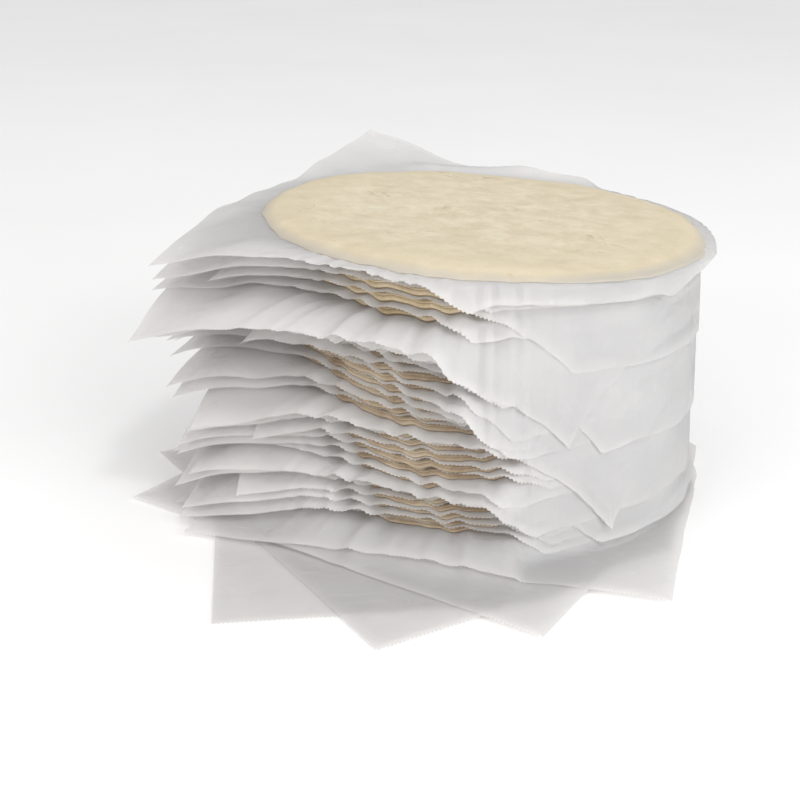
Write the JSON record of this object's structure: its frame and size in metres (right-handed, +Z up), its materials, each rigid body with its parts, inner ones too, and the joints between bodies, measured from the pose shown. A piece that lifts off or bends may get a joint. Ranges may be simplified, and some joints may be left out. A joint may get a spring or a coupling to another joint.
{
  "type": "stack of scallion pancakes",
  "caption": "Tall stack of thin round raw dough pancakes, each lying on a square of translucent plastic film whose loose edges droop around the stack.",
  "frame": {"origin": "on the table under the middle of the stack, in the underside of the lowest film", "axes": "+X to the right and +Y to the back as seen from the front, +Z up"},
  "size_m": [0.255, 0.3082, 0.1336],
  "materials": {
    "dough": "soft matt dough",
    "film": "milky translucent film"
  },
  "bodies": {
    "root": {"film_01": "film", "pancake_01": "dough", "film_02": "film", "pancake_02": "dough", "film_03": "film", "pancake_03": "dough", "film_04": "film", "pancake_04": "dough", "film_05": "film", "pancake_05": "dough", "film_06": "film", "pancake_06": "dough", "film_07": "film", "pancake_07": "dough", "film_08": "film", "pancake_08": "dough", "film_09": "film", "pancake_09": "dough", "film_10": "film", "pancake_10": "dough", "film_11": "film", "pancake_11": "dough", "film_12": "film", "pancake_12": "dough", "film_13": "film", "pancake_13": "dough", "film_14": "film", "pancake_14": "dough", "film_15": "film", "pancake_15": "dough", "film_16": "film", "pancake_16": "dough", "film_17": "film", "pancake_17": "dough", "film_18": "film", "pancake_18": "dough", "film_19": "film", "pancake_19": "dough", "film_20": "film", "pancake_20": "dough", "film_21": "film", "pancake_21": "dough", "film_22": "film", "pancake_22": "dough", "film_23": "film", "pancake_23": "dough", "film_24": "film", "pancake_24": "dough", "film_25": "film", "pancake_25": "dough", "film_26": "film", "pancake_26": "dough", "film_27": "film", "pancake_27": "dough", "film_28": "film", "pancake_28": "dough", "film_29": "film", "pancake_29": "dough", "film_30": "film", "pancake_30": "dough"}
  },
  "joints": []
}
